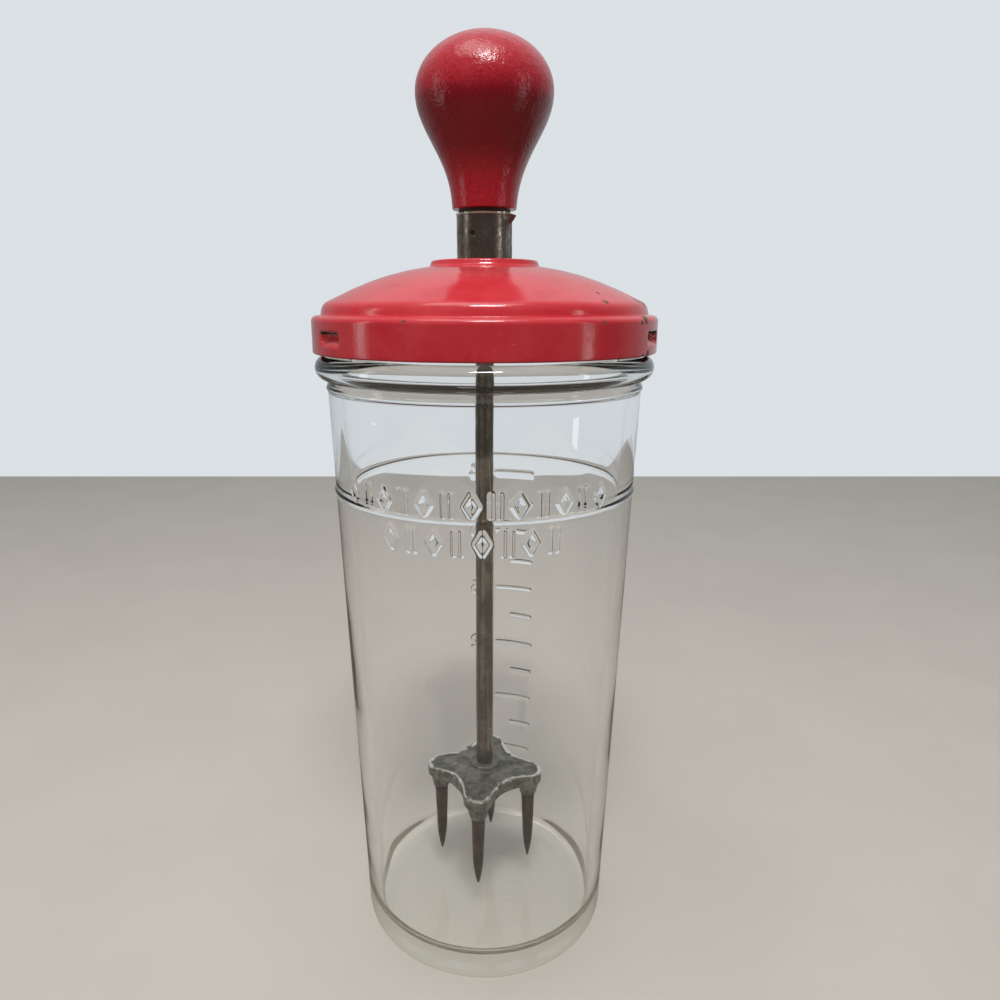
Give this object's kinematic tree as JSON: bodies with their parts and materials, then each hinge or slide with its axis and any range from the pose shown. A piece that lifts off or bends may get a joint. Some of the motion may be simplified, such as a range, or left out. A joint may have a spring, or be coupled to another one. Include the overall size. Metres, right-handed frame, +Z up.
{
  "type": "plunger mixer jar",
  "caption": "Tall clear glass jar with a red metal lug lid, through which a knob, rod and pronged head are pushed up and down to mix what is inside.",
  "frame": {"origin": "on the jar's axis, in the plane of the annular foot that the jar stands on", "axes": "+Z up along the jar's and rod's common axis, -Y towards the front of the picture's view, +X to the right"},
  "size_m": [0.0996, 0.0996, 0.273],
  "materials": {
    "clear_glass": "clear pressed glass, faint green at the edges",
    "gasket_rubber": "pale aged rubber",
    "red_enamel": "glossy red enamel, chipped along its edges",
    "cup_steel": "dull plated steel",
    "bushing_steel": "dull plated steel",
    "seal_rubber": "matt black rubber",
    "painted_wood": "glossy red paint over turned wood",
    "tarnished_nickel": "tarnished nickel plate, brown and grey patches",
    "pin_steel": "dark oxidised steel",
    "rod_steel": "worn steel with brown staining",
    "cast_zinc": null,
    "prong_steel": "dark brown, rusted steel"
  },
  "bodies": {
    "jar": {"jar": "clear_glass"},
    "gasket": {"lid_gasket": "gasket_rubber"},
    "lid": {"lid_shell": "red_enamel", "seal_cup": "cup_steel", "guide_bushing": "bushing_steel"},
    "seal": {"rod_seal": "seal_rubber"},
    "plunger": {"knob": "painted_wood", "ferrule": "tarnished_nickel", "ferrule_pin": "pin_steel", "rod": "rod_steel", "agitator_head": "cast_zinc", "prong_front": "prong_steel", "prong_right": "prong_steel", "prong_back": "prong_steel", "prong_left": "prong_steel"}
  },
  "joints": [
    {"name": "lid_lift", "type": "slide", "parent": "jar", "child": "gasket", "axis": [0, 0, 1], "range_m": [0, 0.185]},
    {"name": "lid_turn", "type": "hinge", "parent": "gasket", "child": "lid", "pos_m": [0, 0, 0.1991], "axis": [0, 0, 1], "range_deg": [-40, 0]},
    {"name": "plunger_turn", "type": "hinge", "parent": "lid", "child": "seal", "pos_m": [0, 0, 0.2081], "axis": [0, 0, 1], "continuous": true},
    {"name": "plunger_lift", "type": "slide", "parent": "seal", "child": "plunger", "axis": [0, 0, 1], "range_m": [0, 0.155]}
  ]
}
